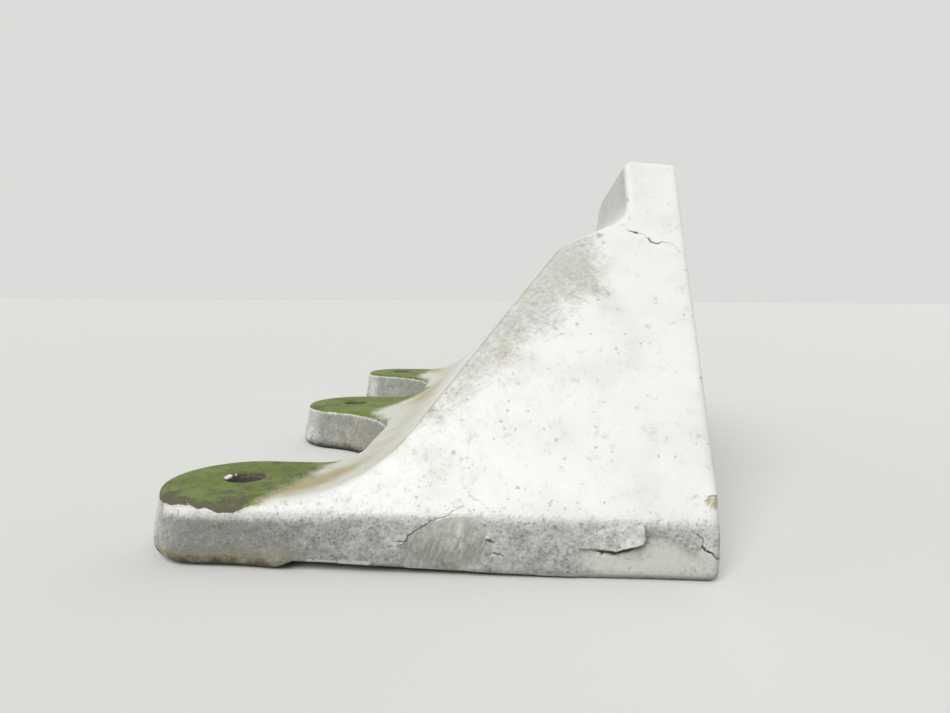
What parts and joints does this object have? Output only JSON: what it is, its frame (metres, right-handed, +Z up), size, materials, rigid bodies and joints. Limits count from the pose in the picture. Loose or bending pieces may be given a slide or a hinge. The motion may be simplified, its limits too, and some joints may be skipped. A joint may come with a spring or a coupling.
{
  "type": "bumper block",
  "caption": "Wedge-shaped cast block that bolts down by ears along one side and takes bumps on its tall flat face.",
  "frame": {"origin": "on the middle bolt hole's axis, in the plane of the foot pads", "axes": "+Z up out of the mounting surface, +Y along the block away from its lug, +X from the ears to the flat bumping face"},
  "size_m": [0.0897, 0.185, 0.067],
  "materials": {
    "painted_casting": "satin"
  },
  "bodies": {
    "root": {"bumper_block": "painted_casting"}
  },
  "joints": []
}
